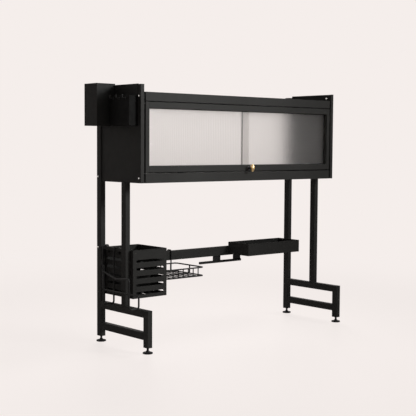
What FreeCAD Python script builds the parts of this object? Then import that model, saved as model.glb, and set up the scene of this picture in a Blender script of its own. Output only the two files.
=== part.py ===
import FreeCAD, Part
import Sketcher
import math
import os
import re

# Over-sink dish rack: a tube frame that straddles the sink, a cabinet with a flip-up
# door on top of it, and the caddies that hang on its rails.
# Lengths are in millimetres. X runs from the left frame to the right one, Y from the
# front legs to the rear posts, Z up from the worktop.

doc = FreeCAD.newDocument("dish_rack")
sheet = doc.addObject("Spreadsheet::Sheet", "Dims")

# Driving dimensions. Each has its own cell and alias.
DIMENSIONS = {
    # frame
    "frame_width": 950.0,
    "frame_depth": 296.0,
    "tube_wide": 20.0,
    "tube_deep": 25.0,
    "tube_wall": 1.2,
    "tube_round": 2.0,
    "foot_height": 20.0,
    "leg_top": 144.0,
    "lower_bar_base": 44.5,
    "bar_height": 25.0,
    "mid_post_front": 125.0,
    "post_drop": 6.0,
    "cap_lid": 2.0,
    "cap_plug": 12.0,
    "plug_clearance": 0.1,
    # rails between the rear posts
    "rail_deep": 15.0,
    "hang_rail_base": 265.0,
    "hang_rail_height": 35.0,
    "hang_rail_setback": 5.0,
    "back_rail_height": 30.0,
    "side_rail_base": 328.0,
    "side_rail_size": 12.0,
    "side_rail_inset": 2.0,
    # levelling feet
    "pad_radius": 17.0,
    "pad_edge": 3.0,
    "pad_dome": 3.0,
    "pad_hub_radius": 7.0,
    "stem_radius": 4.0,
    "stem_clearance": 0.05,
    "stem_length": 46.0,
    "insert_height": 16.0,
    "nut_radius": 6.5,
    "nut_height": 4.0,
    # cabinet
    "cab_inset": 5.0,
    "cab_front": 46.0,
    "cab_bottom": 565.0,
    "plate": 1.2,
    "flange_wide": 14.0,
    "groove_wide": 6.0,
    "front_rail_deep": 22.0,
    "bottom_rail_height": 32.0,
    "top_rail_height": 29.0,
    "top_rail_top": 868.0,
    "panel_rise": 25.0,
    "rail_tab_setback": 8.0,
    "shelf_drop": 5.0,
    "shelf_lip": 14.0,
    # door
    "door_gap": 3.5,
    "stile_wide": 16.0,
    "door_rail_height": 21.0,
    "door_frame_deep": 14.0,
    "door_wall": 1.2,
    "pane_thick": 2.0,
    "pane_gap": 0.3,
    "pane_lap": 9.0,
    "pane_overlap": 35.0,
    "seam_at": 471.0,
    "seam_strip_wide": 9.0,
    "seam_strip_thick": 1.5,
    "clip_long": 14.0,
    "clip_base": 5.0,
    "clip_tongue": 5.0,
    "hinge_drop": 6.0,
    "hinge_back": 6.0,
    "pin_radius": 3.0,
    "pin_clearance": 0.05,
    "pin_reach": 13.0,
    "pin_head_radius": 4.5,
    "pin_head": 3.0,
    "bracket_thick": 14.0,
    "bracket_half": 7.0,
    "knob_at": 492.6,
    "knob_wide": 9.0,
    "knob_tall": 13.5,
    "knob_deep": 9.0,
    "knob_stand": 20.0,
    "knob_stem_radius": 3.5,
    "knob_screw_radius": 2.0,
    "knob_screw_head": 4.0,
    "catch_wide": 30.0,
    "catch_deep": 6.0,
    "catch_height": 14.0,
    "catch_from_end": 150.0,
    "strike_thick": 1.5,
    "strike_height": 9.0,
    "catch_clearance": 0.4,
    # screws
    "screw_head_radius": 3.2,
    "screw_head": 2.0,
    "screw_radius": 2.0,
    "screw_length": 9.0,
    "post_screw_setback": 8.0,
    "panel_screw_setback": 11.0,
    # things that hang on the rails
    "hang_clearance": 0.3,
    "hook_wide": 18.0,
    "hook_drop": 14.0,
    # cutlery box
    "cutlery_gap": 1.0,
    "cutlery_width": 145.0,
    "cutlery_front": 110.0,
    "cutlery_base": 169.0,
    "cutlery_height": 166.0,
    "slot_height": 9.0,
    "slot_pitch": 27.5,
    "slot_first": 17.5,
    "slot_margin": 14.0,
    # dish basket
    "basket_gap": 4.0,
    "basket_width": 172.0,
    "basket_front": 112.0,
    "basket_base": 221.0,
    "basket_height": 35.0,
    "basket_wire": 2.5,
    "basket_thin_wire": 1.9,
    "basket_corner": 12.0,
    # storage tray
    "tray_left": 603.0,
    "tray_width": 277.0,
    "tray_front": 160.0,
    "tray_rise": 5.0,
    "tray_height": 46.5,
    # towel bar
    "bar_left": 465.0,
    "bar_length": 209.0,
    "bar_radius": 5.0,
    "bar_drop": 23.0,
    "bar_tab_wide": 38.0,
    "bar_tab_first": 66.0,
    "clip_from_end": 40.0,
    # cutting board holder
    "board_rod": 3.0,
    "board_slot": 40.0,
    "board_lap": 3.0,
    "board_front": 41.0,
    "board_rear": 188.0,
    "board_hook_rear": 250.0,
    "board_base": 148.0,
    "board_corner_height": 103.0,
    "board_sag": 8.0,
    "board_join_height": 113.0,
    "board_tip_height": 132.0,
    "board_brace_height": 42.0,
    "board_bend": 9.0,
    # utensil box and knife holder
    "caddy_drop": 137.0,
    "caddy_start": 16.0,
    "caddy_setback": 6.5,
    "caddy_gap": 17.5,
    "caddy_lip": 13.0,
    "box_size": 75.0,
    "box_height": 142.5,
    "knife_depth": 35.0,
    "knife_height": 99.0,
    "knife_slot_long": 26.0,
    "knife_slot_wide": 5.0,
    "knife_first": 20.0,
    "hook_wire": 1.6,
    "hook_reach": 13.0,
    "hook_rise": 9.0,
    "hook_below_top": 9.0,
    # places of the drain slots
    "drain_long": 60.0,
    "drain_wide": 7.0,
    "drain_pitch": 58.0,
    "drain_margin": 34.0,
}

for number, (word, value) in enumerate(DIMENSIONS.items(), start=1):
    sheet.set("A%d" % number, word)
    sheet.set("B%d" % number, repr(value))
    sheet.setAlias("B%d" % number, word)

# Sizes worked out from the driving ones.
DERIVED = {
    "caddy_face": "cab_inset - hang_clearance",
    "caddy_plate_out": "caddy_face - plate",
    "box_reach": "box_size - caddy_plate_out",
    "pad_reach": "pad_radius - tube_wide / 2",
    "origin_x": "(frame_width + pad_reach - box_reach) / 2",
    "origin_y": "frame_depth / 2",
    "rear_front": "frame_depth - tube_deep",
    "panel_top": "top_rail_top + panel_rise",
    "post_top": "panel_top - post_drop",
    "inner_width": "frame_width - 2 * tube_wide",
    "panel_inner": "cab_inset + plate",
    "shelf_width": "frame_width - 2 * panel_inner",
    "face_left": "cab_inset + flange_wide + groove_wide",
    "face_width": "frame_width - 2 * face_left",
    "bottom_rail_top": "cab_bottom + bottom_rail_height",
    "top_rail_base": "top_rail_top - top_rail_height",
    "door_base": "bottom_rail_top + door_gap",
    "door_top": "top_rail_base - door_gap",
    "door_height": "door_top - door_base",
    "door_back": "cab_front + door_frame_deep",
    "hinge_y": "cab_front + hinge_back",
    "hinge_z": "door_top - hinge_drop",
    "hang_rail_front": "frame_depth - hang_rail_setback - rail_deep",
    "hang_rail_top": "hang_rail_base + hang_rail_height",
    "hang_face": "hang_rail_front - hang_clearance",
    "side_rail_top": "side_rail_base + side_rail_size",
    "cutlery_left": "tube_wide + cutlery_gap",
    "basket_left": "cutlery_left + cutlery_width + basket_gap",
    "tray_base": "hang_rail_base + tray_rise",
    "caddy_base": "panel_top - caddy_drop",
    "box_rear": "rear_front - caddy_setback",
    "caddy_front": "cab_front + caddy_start",
    "caddy_length": "box_rear - caddy_front",
    "knife_length": "caddy_length - box_size - caddy_gap",
    "knife_pitch": "(knife_length - 2 * knife_first) / 2",
    "knife_top": "caddy_base + knife_height",
    "window_base": "door_base + door_rail_height",
    "window_top": "door_top - door_rail_height",
    "board_inner": "0 - board_rod - hang_clearance",
    "board_outer": "board_inner - board_slot - board_rod",
}

first_row = len(DIMENSIONS) + 1
for number, (word, formula) in enumerate(DERIVED.items(), start=first_row):
    sheet.set("A%d" % number, word)
    sheet.set("B%d" % number, "=" + formula)
    sheet.setAlias("B%d" % number, word)
doc.recompute()

WORDS = set(DIMENSIONS) | set(DERIVED)
WORD = re.compile(r"[a-z_]+")


def bound(text):
    """The text with each of the sheet's words pointing at its cell."""
    def cell(found):
        word = found.group()
        return "Dims." + word if word in WORDS else word
    return WORD.sub(cell, str(text))


def size(word):
    """The number in the cell that this word names."""
    return float(getattr(sheet, word))


def bind(thing, field, text):
    thing.setExpression(field, bound(text))


def move(thing, corner):
    """Put the thing's own origin at a corner given from the left, the front and the floor."""
    bind(thing, "Placement.Base.x", "(%s) - origin_x" % corner[0])
    bind(thing, "Placement.Base.y", "(%s) - origin_y" % corner[1])
    bind(thing, "Placement.Base.z", corner[2])


def shift(thing, corner):
    """Put a tool or a plain block inside the piece that it belongs to."""
    for axis, text in zip("xyz", corner):
        bind(thing, "Placement.Base." + axis, text)


def block(sides, corner=(0, 0, 0)):
    solid = doc.addObject("Part::Box", "block")
    for field, text in zip(("Length", "Width", "Height"), sides):
        bind(solid, field, text)
    shift(solid, corner)
    return solid


UPRIGHT = FreeCAD.Rotation()
ALONG_X = FreeCAD.Rotation(FreeCAD.Vector(0, 1, 0), 90)
ALONG_Y = FreeCAD.Rotation(FreeCAD.Vector(1, 0, 0), -90)


def rod(radius, length, corner=(0, 0, 0), turn=UPRIGHT):
    solid = doc.addObject("Part::Cylinder", "rod")
    bind(solid, "Radius", radius)
    bind(solid, "Height", length)
    solid.Placement = FreeCAD.Placement(FreeCAD.Vector(), turn)
    shift(solid, corner)
    return solid


def joined(solids):
    whole = doc.addObject("Part::MultiFuse", "joined")
    whole.Shapes = solids
    whole.Refine = True
    return whole


def cut(base, tools):
    rest = doc.addObject("Part::Cut", "cut")
    rest.Base = base
    rest.Tool = tools[0] if len(tools) == 1 else joined(tools)
    rest.Refine = True
    return rest


def grouped(solids):
    group = doc.addObject("Part::Compound", "group")
    group.Links = solids
    return group


PIECES = []


def piece(name, solid, corner):
    """Give a finished solid its name and its place in the rack."""
    solid.Label = name
    move(solid, corner)
    PIECES.append(solid)
    return solid


def rectangle(sketch, wide, deep, inset="0"):
    """Draw a rectangle that lies inset from the corner at the sketch's origin."""
    point = FreeCAD.Vector
    start = sketch.GeometryCount
    corners = (point(1, 1, 0), point(9, 1, 0), point(9, 7, 0), point(1, 7, 0))
    for index in range(4):
        sketch.addGeometry(Part.LineSegment(corners[index], corners[(index + 1) % 4]), False)
    for index in range(4):
        following = start + (index + 1) % 4
        sketch.addConstraint(Sketcher.Constraint("Coincident", start + index, 2, following, 1))
    sketch.addConstraint(Sketcher.Constraint("Horizontal", start))
    sketch.addConstraint(Sketcher.Constraint("Horizontal", start + 2))
    sketch.addConstraint(Sketcher.Constraint("Vertical", start + 1))
    sketch.addConstraint(Sketcher.Constraint("Vertical", start + 3))
    lengths = (
        (Sketcher.Constraint("DistanceX", start, 1, start, 2, 8.0), wide),
        (Sketcher.Constraint("DistanceY", start + 1, 1, start + 1, 2, 6.0), deep),
    )
    for constraint, text in lengths:
        number = sketch.addConstraint(constraint)
        bind(sketch, "Constraints[%d]" % number, text)
    if inset == "0":
        sketch.addConstraint(Sketcher.Constraint("Coincident", start, 1, -1, 1))
        return
    for kind in ("DistanceX", "DistanceY"):
        number = sketch.addConstraint(Sketcher.Constraint(kind, -1, 1, start, 1, 1.0))
        bind(sketch, "Constraints[%d]" % number, inset)


def plane(body, role):
    """One of the body's own origin planes."""
    return [feature for feature in body.Origin.OriginFeatures if feature.Role == role][0]


def sketch_in(body, role):
    sketch = body.newObject("Sketcher::SketchObject", "outline")
    sketch.AttachmentSupport = [(plane(body, role), "")]
    sketch.MapMode = "FlatFace"
    return sketch


def tube(wide, deep, length, wall="tube_wall", corner_round="tube_round", turn=UPRIGHT):
    """A rectangular tube that stands on its corner, or lies along turn."""
    body = doc.addObject("PartDesign::Body", "tube")
    sketch = sketch_in(body, "XY_Plane")
    rectangle(sketch, wide, deep)
    rectangle(sketch, "%s - 2 * %s" % (wide, wall), "%s - 2 * %s" % (deep, wall), wall)
    pad = body.newObject("PartDesign::Pad", "length")
    pad.Profile = sketch
    bind(pad, "Length", length)
    doc.recompute()
    corners = []
    reach = pad.Shape.BoundBox
    for number, edge in enumerate(pad.Shape.Edges, start=1):
        middle = edge.CenterOfMass
        on_side = min(abs(middle.x - reach.XMin), abs(middle.x - reach.XMax)) < 0.01
        on_front = min(abs(middle.y - reach.YMin), abs(middle.y - reach.YMax)) < 0.01
        if on_side and on_front:
            corners.append("Edge%d" % number)
    fillet = body.newObject("PartDesign::Fillet", "corners")
    fillet.Base = (pad, corners)
    bind(fillet, "Radius", corner_round)
    body.Tip = fillet
    body.Placement = FreeCAD.Placement(FreeCAD.Vector(), turn)
    return body


def turned(points):
    """A body turned about Z from radius and height pairs, each a bound text."""
    body = doc.addObject("PartDesign::Body", "turned")
    sketch = sketch_in(body, "XZ_Plane")
    count = len(points)
    guess = [FreeCAD.Vector(3.0 + index % 3, 2.0 * index, 0) for index in range(count)]
    for index in range(count):
        sketch.addGeometry(Part.LineSegment(guess[index], guess[(index + 1) % count]), False)
    for index in range(count):
        sketch.addConstraint(Sketcher.Constraint("Coincident", index, 2, (index + 1) % count, 1))
    for index, (radius, height) in enumerate(points):
        for kind, text, axis in (("DistanceX", radius, -2), ("DistanceY", height, -1)):
            if text == "0":
                sketch.addConstraint(Sketcher.Constraint("PointOnObject", index, 1, axis))
                continue
            number = sketch.addConstraint(Sketcher.Constraint(kind, -1, 1, index, 1, 1.0))
            bind(sketch, "Constraints[%d]" % number, text)
    turn = body.newObject("PartDesign::Revolution", "turn")
    turn.Profile = sketch
    turn.ReferenceAxis = (sketch, ["V_Axis"])
    turn.Angle = 360.0
    body.Tip = turn
    return body


def bent_rod(points, radius, bend, closed=False):
    """A round rod along straight runs, with an arc at each corner: one radius, or one for each."""
    points = [FreeCAD.Vector(*point) for point in points]
    count = len(points)
    edges = []
    first = points[0] if not closed else (points[0] + points[-1]) * 0.5
    here = first
    corner_numbers = range(count) if closed else range(1, count - 1)
    bends = bend if isinstance(bend, list) else [bend] * len(corner_numbers)
    for number, bend in zip(corner_numbers, bends):
        before = (points[number - 1] - points[number]).normalize()
        after = (points[(number + 1) % count] - points[number]).normalize()
        half = before.getAngle(after) / 2
        reach = bend / math.tan(half)
        start = points[number] + before * reach
        end = points[number] + after * reach
        inward = (before + after).normalize()
        middle = points[number] + inward * (bend / math.sin(half) - bend)
        edges.append(Part.LineSegment(here, start).toShape())
        edges.append(Part.Arc(start, middle, end).toShape())
        here = end
    last = first if closed else points[-1]
    edges.append(Part.LineSegment(here, last).toShape())
    path = Part.Wire(edges)
    heading = path.Edges[0].tangentAt(path.Edges[0].FirstParameter)
    ring = Part.Wire([Part.makeCircle(radius, first, heading)])
    return path.makePipeShell([ring], True, True)


def shaped(name, solid, corner=(0, 0, 0)):
    """A piece whose solid is bent wire; the solid is drawn from the left, the front and the floor."""
    thing = doc.addObject("Part::Feature", name)
    thing.Shape = solid
    return piece(name, thing, corner)


# Frame: two side frames of rectangular tube
SIDES = {"left": "0", "right": "frame_width - tube_wide"}
SCREW_Y_POST = "frame_depth - post_screw_setback"
SCREW_Y_PANEL = "cab_front + panel_screw_setback"
BOTTOM_SCREW_Z = "cab_bottom + bottom_rail_height / 2"
TOP_SCREW_Z = "top_rail_top - top_rail_height / 2"
SIDE_RAIL_SCREW_Z = "side_rail_base + side_rail_size / 2"
POST_SCREWS = {
    "left": (BOTTOM_SCREW_Z, TOP_SCREW_Z, SIDE_RAIL_SCREW_Z),
    "right": (BOTTOM_SCREW_Z, TOP_SCREW_Z),
}
PANEL_SCREWS = (BOTTOM_SCREW_Z, TOP_SCREW_Z)


def screw_hole(side, across, height, face, depth="screw_length"):
    """A hole along X, from a face that lies face inwards of the frame's outer side."""
    start = face if side == "left" else "frame_width - (%s) - (%s)" % (face, depth)
    return rod("screw_radius", depth, (start, across, height), ALONG_X)


def screw(side, across, height, face):
    """A round-headed screw driven in from the outer side."""
    head_start = "(%s) - screw_head" % face if side == "left" else "frame_width - (%s)" % face
    head = rod("screw_head_radius", "screw_head", (head_start, across, height), ALONG_X)
    return joined([head, screw_hole(side, across, height, face)])


def moved_by(tools, corner):
    """Carry tools drawn from the frame's corner into a piece that starts at corner."""
    for tool in tools:
        for axis, text in zip("xyz", corner):
            field = "Placement.Base." + axis
            here = [formula for name, formula in tool.ExpressionEngine if name.strip(".") == field]
            start = here[0] if here else repr(getattr(tool.Placement.Base, axis))
            tool.setExpression(field, "(%s) - (%s)" % (start, bound(text)))
    return tools


for side, left in SIDES.items():
    post = tube("tube_wide", "tube_deep", "post_top - cap_lid - foot_height")
    corner = (left, "rear_front", "foot_height")
    holes = [screw_hole(side, SCREW_Y_POST, height, "0") for height in POST_SCREWS[side]]
    piece(side + "_rear_post", cut(post, moved_by(holes, corner)), corner)
    piece(side + "_mid_post", tube("tube_wide", "tube_deep", "cab_bottom - leg_top"),
          (left, "mid_post_front", "leg_top"))
    piece(side + "_front_leg", tube("tube_wide", "tube_deep", "leg_top - cap_lid - foot_height"),
          (left, "0", "foot_height"))
    piece(side + "_upper_bar", tube("tube_wide", "bar_height", "rear_front - tube_deep", turn=ALONG_Y),
          (left, "tube_deep", "leg_top"))
    piece(side + "_lower_bar", tube("tube_wide", "bar_height", "rear_front - tube_deep", turn=ALONG_Y),
          (left, "tube_deep", "lower_bar_base + bar_height"))


# Rails between the two side frames, and the short one that the board holder hooks over
def cross_rail(name, height, depth, front, top):
    rail = tube(height, depth, "inner_width", turn=ALONG_X)
    piece(name, rail, ("tube_wide", front, top))


cross_rail("hanging_rail", "hang_rail_height", "rail_deep", "hang_rail_front", "hang_rail_top")
back_rail_tops = {
    "back_bottom_rail": "cab_bottom + back_rail_height",
    "back_top_rail": "top_rail_top - shelf_drop - plate",
}
for name, top in back_rail_tops.items():
    cross_rail(name, "back_rail_height", "rail_deep", "rear_front", top)
side_rail_long = "rear_front - mid_post_front - tube_deep"
piece("left_side_rail", tube("side_rail_size", "side_rail_size", side_rail_long, turn=ALONG_Y),
      ("side_rail_inset", "mid_post_front + tube_deep", "side_rail_top"))


# Plugs that close the tubes: caps on top, threaded inserts below
def plug(left, front, base, height):
    inset = "(tube_wall + plug_clearance)"
    sides = ("tube_wide - 2 * " + inset, "tube_deep - 2 * " + inset, height)
    return block(sides, ("(%s) + %s" % (left, inset), "(%s) + %s" % (front, inset), base))


def cap(left, front, top):
    lid = block(("tube_wide", "tube_deep", "cap_lid"), (left, front, "(%s) - cap_lid" % top))
    return joined([lid, plug(left, front, "(%s) - cap_lid - cap_plug" % top, "cap_plug")])


ORIGIN = ("0", "0", "0")
piece("post_caps", grouped([cap(left, "rear_front", "post_top") for left in SIDES.values()]), ORIGIN)
piece("leg_caps", grouped([cap(left, "0", "leg_top") for left in SIDES.values()]), ORIGIN)

FEET = {}
for side, left in SIDES.items():
    FEET[side + "_front"] = (left, "0")
    FEET[side + "_rear"] = (left, "rear_front")

inserts = []
for left, front in FEET.values():
    middle = ("(%s) + tube_wide / 2" % left, "(%s) + tube_deep / 2" % front, "foot_height")
    hole = rod("stem_radius + stem_clearance", "insert_height", middle)
    inserts.append(cut(plug(left, front, "foot_height", "insert_height"), [hole]))
piece("foot_inserts", grouped(inserts), ORIGIN)

# Levelling feet: a domed pad and the screw that it turns on
for name, (left, front) in FEET.items():
    middle = ("(%s) + tube_wide / 2" % left, "(%s) + tube_deep / 2" % front)
    pad_top = "pad_edge + pad_dome"
    outline = (
        ("0", "0"),
        ("pad_radius", "0"),
        ("pad_radius", "pad_edge"),
        ("pad_hub_radius", pad_top),
        ("0", pad_top),
    )
    piece(name + "_foot_pad", turned(outline), middle + ("0",))
    nut = rod("nut_radius", "nut_height")
    stem = joined([rod("stem_radius", "stem_length"), nut])
    piece(name + "_foot_screw", stem, middle + (pad_top,))

# Cabinet: side panels of folded sheet
PANEL_DEPTH = "rear_front - cab_front"
PANEL_HEIGHT = "panel_top - cab_bottom"
for side in SIDES:
    web_left = "0" if side == "left" else "flange_wide - plate"
    panel_left = "cab_inset" if side == "left" else "frame_width - cab_inset - flange_wide"
    corner = (panel_left, "cab_front", "cab_bottom")
    folded = joined([
        block(("plate", PANEL_DEPTH, PANEL_HEIGHT), (web_left, "0", "0")),
        block(("flange_wide", "plate", PANEL_HEIGHT)),
        block(("flange_wide", PANEL_DEPTH, "plate")),
    ])
    holes = [screw_hole(side, SCREW_Y_PANEL, height, "cab_inset") for height in PANEL_SCREWS]
    piece(side + "_side_panel", cut(folded, moved_by(holes, corner)), corner)

# Shelves: sheet with a turned edge, the lower one slotted to drain
SHELF_FRONT = "cab_front + front_rail_deep"
SHELF_DEPTH = "rear_front - cab_front - front_rail_deep"
top_shelf = joined([
    block(("shelf_width", SHELF_DEPTH, "plate"), ("0", "0", "shelf_lip")),
    block(("shelf_width", "plate", "shelf_lip")),
    block(("shelf_width", "plate", "shelf_lip"), ("0", SHELF_DEPTH + " - plate", "0")),
])
piece("top_shelf", top_shelf, ("panel_inner", SHELF_FRONT, "top_rail_top - shelf_drop - plate - shelf_lip"))


def drain_slots(width, first_front, floor_top):
    """One row of slots along a floor, each across it."""
    count = int((size(width) - 2 * size("drain_margin")) / size("drain_pitch")) + 1
    start = "((%s) - %d * drain_pitch) / 2" % (width, count - 1)
    slots = []
    for index in range(count):
        middle = "%s + %d * drain_pitch" % (start, index)
        corner = (middle + " - drain_wide / 2", first_front, "(%s) - 2 * plate" % floor_top)
        slots.append(block(("drain_wide", "drain_long", "3 * plate"), corner))
    return slots


shelf_sheet = joined([
    block(("shelf_width", SHELF_DEPTH, "plate")),
    block(("shelf_width", "plate", "shelf_lip"), ("0", SHELF_DEPTH + " - plate", "0")),
])
slots = []
for share in (1, 3):
    front = "(%s) * %d / 4 - drain_long / 2" % (SHELF_DEPTH, share)
    slots += drain_slots("shelf_width", front, "plate")
piece("bottom_shelf", cut(shelf_sheet, slots), ("panel_inner", SHELF_FRONT, "cab_bottom + plate"))


# Front rails: channels that close the cabinet above and below the door
def front_rail(name, base, height, screw_height):
    reach = "(face_left - panel_inner)"
    tab_sides = (reach + " + stile_wide", "front_rail_deep - rail_tab_setback", "(%s) - 2 * plate" % height)
    tab_lefts = ("0 - " + reach, "face_width - stile_wide")
    channel = [
        block(("face_width", "plate", height)),
        block(("face_width", "front_rail_deep", "plate")),
        block(("face_width", "front_rail_deep", "plate"), ("0", "0", "(%s) - plate" % height)),
    ]
    tabs = [block(tab_sides, (tab_left, "rail_tab_setback", "plate")) for tab_left in tab_lefts]
    corner = ("face_left", "cab_front", base)
    holes = [screw_hole(side, SCREW_Y_PANEL, screw_height, "cab_inset") for side in SIDES]
    piece(name, cut(joined(channel + tabs), moved_by(holes, corner)), corner)


front_rail("top_front_rail", "top_rail_base", "top_rail_height", TOP_SCREW_Z)
front_rail("bottom_front_rail", "cab_bottom", "bottom_rail_height", BOTTOM_SCREW_Z)

# Screws that show on the outer sides
for side in SIDES:
    heads = [screw(side, SCREW_Y_POST, height, "0") for height in POST_SCREWS[side]]
    heads += [screw(side, SCREW_Y_PANEL, height, "cab_inset") for height in PANEL_SCREWS]
    piece(side + "_screws", grouped(heads), ORIGIN)

# Hinge brackets behind the side panels' front edges
brackets = []
for start in ("panel_inner", "frame_width - panel_inner - bracket_thick"):
    front = "cab_front + plate"
    sides = ("bracket_thick", "hinge_back - plate + bracket_half", "2 * bracket_half")
    bracket = block(sides, (start, front, "hinge_z - bracket_half"))
    bore = rod("pin_radius + pin_clearance", "bracket_thick", (start, "hinge_y", "hinge_z"), ALONG_X)
    brackets.append(cut(bracket, [bore]))
piece("hinge_brackets", grouped(brackets), ORIGIN)

# Magnet catches on the bottom rail, and the strike plates on the door
CATCH_LEFTS = ("face_left + catch_from_end", "frame_width - face_left - catch_from_end - catch_wide")
catch_front = "door_back + strike_thick + catch_clearance"
catches = [block(("catch_wide", "catch_deep", "catch_height"), (left, catch_front, "bottom_rail_top"))
           for left in CATCH_LEFTS]
piece("magnet_catches", grouped(catches), ORIGIN)
strikes = [block(("catch_wide", "strike_thick", "strike_height"), (left, "door_back", "door_base + plate"))
           for left in CATCH_LEFTS]
piece("strike_plates", grouped(strikes), ORIGIN)

# Door: a tube frame with its two panes against the back of it
KNOB_Z = "door_base + door_rail_height / 2"
for name, base in (("door_bottom_rail", "door_base"), ("door_top_rail", "window_top")):
    rail = tube("door_rail_height", "door_frame_deep", "face_width - 2 * stile_wide",
                "door_wall", "door_wall", ALONG_X)
    corner = ("face_left + stile_wide", "cab_front", base + " + door_rail_height")
    if name == "door_bottom_rail":
        spot = ("knob_at", "cab_front - door_wall / 2", KNOB_Z)
        hole = rod("knob_screw_radius", "2 * door_wall", spot, ALONG_Y)
        rail = cut(rail, moved_by([hole], corner))
    piece(name, rail, corner)

# For each stile: its left face, and where its hinge pin and the pin's head start
HINGE_STARTS = {
    "left": ("face_left", "face_left - pin_reach", "face_left + door_wall"),
    "right": (
        "frame_width - face_left - stile_wide",
        "frame_width - face_left - door_wall",
        "frame_width - face_left - door_wall - pin_head",
    ),
}
pins = []
for side, (stile_left, start, head_start) in HINGE_STARTS.items():
    corner = (stile_left, "cab_front", "door_base")
    stile = tube("stile_wide", "door_frame_deep", "door_height", "door_wall", "door_wall")
    hole = rod("pin_radius", "pin_reach + door_wall", (start, "hinge_y", "hinge_z"), ALONG_X)
    piece(side + "_door_stile", cut(stile, moved_by([hole], corner)), corner)
    pins.append(joined([
        rod("pin_radius", "pin_reach + door_wall", (start, "hinge_y", "hinge_z"), ALONG_X),
        rod("pin_head_radius", "pin_head", (head_start, "hinge_y", "hinge_z"), ALONG_X),
    ]))
piece("hinge_pins", grouped(pins), ORIGIN)

PANE_HEIGHT = "window_top - window_base + 2 * pane_lap"
left_edge = "face_left + stile_wide - pane_lap"
right_start = "door_back + pane_thick + pane_gap"
piece("left_pane", block(("seam_at + pane_overlap - (%s)" % left_edge, "pane_thick", PANE_HEIGHT)),
      (left_edge, "door_back", "window_base - pane_lap"))
piece("right_pane", block(("frame_width - (%s) - seam_at" % left_edge, "pane_thick", PANE_HEIGHT)),
      ("seam_at", right_start, "window_base - pane_lap"))
piece("seam_strip", block(("seam_strip_wide", "seam_strip_thick", "window_top - window_base")),
      ("seam_at", "door_back - seam_strip_thick", "window_base"))


def pane_clip(middle, pane_back, edge, up):
    """A clip screwed to the frame beside the pane, with a tongue over its back."""
    base_z = edge if up > 0 else "(%s) - clip_base" % edge
    tongue_z = "(%s) - clip_tongue" % edge if up > 0 else "(%s) - clip_base" % edge
    left = "(%s) - clip_long / 2" % middle
    base_deep = "(%s) - door_back + plate" % pane_back
    return joined([
        block(("clip_long", base_deep, "clip_base"), (left, "door_back", base_z)),
        block(("clip_long", "plate", "clip_base + clip_tongue"), (left, pane_back, tongue_z)),
    ])


clips = []
PANE_CLIPS = (
    ("face_left + stile_wide + clip_from_end", "door_back + pane_thick"),
    ("seam_at - clip_from_end", "door_back + pane_thick"),
    ("seam_at + pane_overlap + clip_from_end", "%s + pane_thick" % right_start),
    ("frame_width - face_left - stile_wide - clip_from_end", "%s + pane_thick" % right_start),
)
for middle, pane_back in PANE_CLIPS:
    clips.append(pane_clip(middle, pane_back, "window_top + pane_lap", 1))
    clips.append(pane_clip(middle, pane_back, "window_base - pane_lap", -1))
piece("pane_clips", grouped(clips), ORIGIN)

# Knob: an upright oval on a short stem
oval = doc.addObject("Part::Ellipsoid", "oval")
bind(oval, "Radius1", "knob_tall")
bind(oval, "Radius2", "knob_wide")
bind(oval, "Radius3", "knob_deep")
stem = rod("knob_stem_radius", "knob_stand", ("0", "0", "0"), ALONG_Y)
screw_reach = "knob_stand * 3 / 4"
bore = rod("knob_screw_radius", screw_reach, ("0", "knob_stand - " + screw_reach, "0"), ALONG_Y)
piece("knob", cut(joined([oval, stem]), [bore]), ("knob_at", "cab_front - knob_stand", KNOB_Z))
knob_screw = joined([
    rod("knob_screw_radius", screw_reach + " + door_wall", ("0", "0", "0"), ALONG_Y),
    rod("knob_screw_head", "screw_head", ("0", screw_reach + " + door_wall", "0"), ALONG_Y),
])
piece("knob_screw", knob_screw, ("knob_at", "cab_front - " + screw_reach, KNOB_Z))


# Caddies that hang on the rail
def rail_hook(left, wall_back):
    """A sheet hook from a rear wall over the hanging rail and down behind it."""
    top = "hang_rail_top + hang_clearance"
    back = "hang_rail_front + rail_deep + hang_clearance"
    return joined([
        block(("hook_wide", "(%s) - (%s) + plate" % (back, wall_back), "plate"), (left, wall_back, top)),
        block(("hook_wide", "plate", "hook_drop"), (left, back, "%s + plate - hook_drop" % top)),
    ])


def open_box(width, depth, height):
    """A folded sheet box with no lid, standing at its own corner."""
    clear = ("(%s) - 2 * plate" % width, "(%s) - 2 * plate" % depth, height)
    inside = block(clear, ("plate", "plate", "plate"))
    return cut(block((width, depth, height)), [inside])


def round_slot(length, start, height, along_x, across):
    """A long slot with round ends through a wall; across is where its cut starts."""
    half = "slot_height / 2"
    run = "(%s) - slot_height" % length
    near = "%s + %s" % (start, half)
    far = "%s + %s" % (near, run)
    below = "(%s) - %s" % (height, half)
    thick = "3 * plate"
    if along_x:
        rods = [rod(half, thick, (end, across, height), ALONG_Y) for end in (near, far)]
        middle = block((run, thick, "slot_height"), (near, across, below))
    else:
        rods = [rod(half, thick, (across, end, height), ALONG_X) for end in (near, far)]
        middle = block((thick, run, "slot_height"), (across, near, below))
    return joined(rods + [middle])


# Cutlery box, slotted on three sides, with a loose divider
CUTLERY_DEPTH = "hang_face - cutlery_front"
SLOT_ROWS = 5
slots = []
for row in range(SLOT_ROWS):
    height = "slot_first + %d * slot_pitch" % row
    slots.append(round_slot("cutlery_width - 2 * slot_margin", "slot_margin", height, True, "0 - plate"))
    for wall in ("0 - plate", "cutlery_width - 2 * plate"):
        side_run = CUTLERY_DEPTH + " - 2 * slot_margin"
        slots.append(round_slot(side_run, "slot_margin", height, False, wall))
slots += drain_slots("cutlery_width", "(%s) / 2 - drain_long / 2" % CUTLERY_DEPTH, "plate")
corner = ("cutlery_left", "cutlery_front", "cutlery_base")
hooks = [rail_hook("cutlery_left + " + place, "hang_face")
         for place in ("slot_margin", "cutlery_width - slot_margin - hook_wide")]
box = cut(open_box("cutlery_width", CUTLERY_DEPTH, "cutlery_height"), slots)
piece("cutlery_box", joined([box] + moved_by(hooks, corner)), corner)
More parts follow.
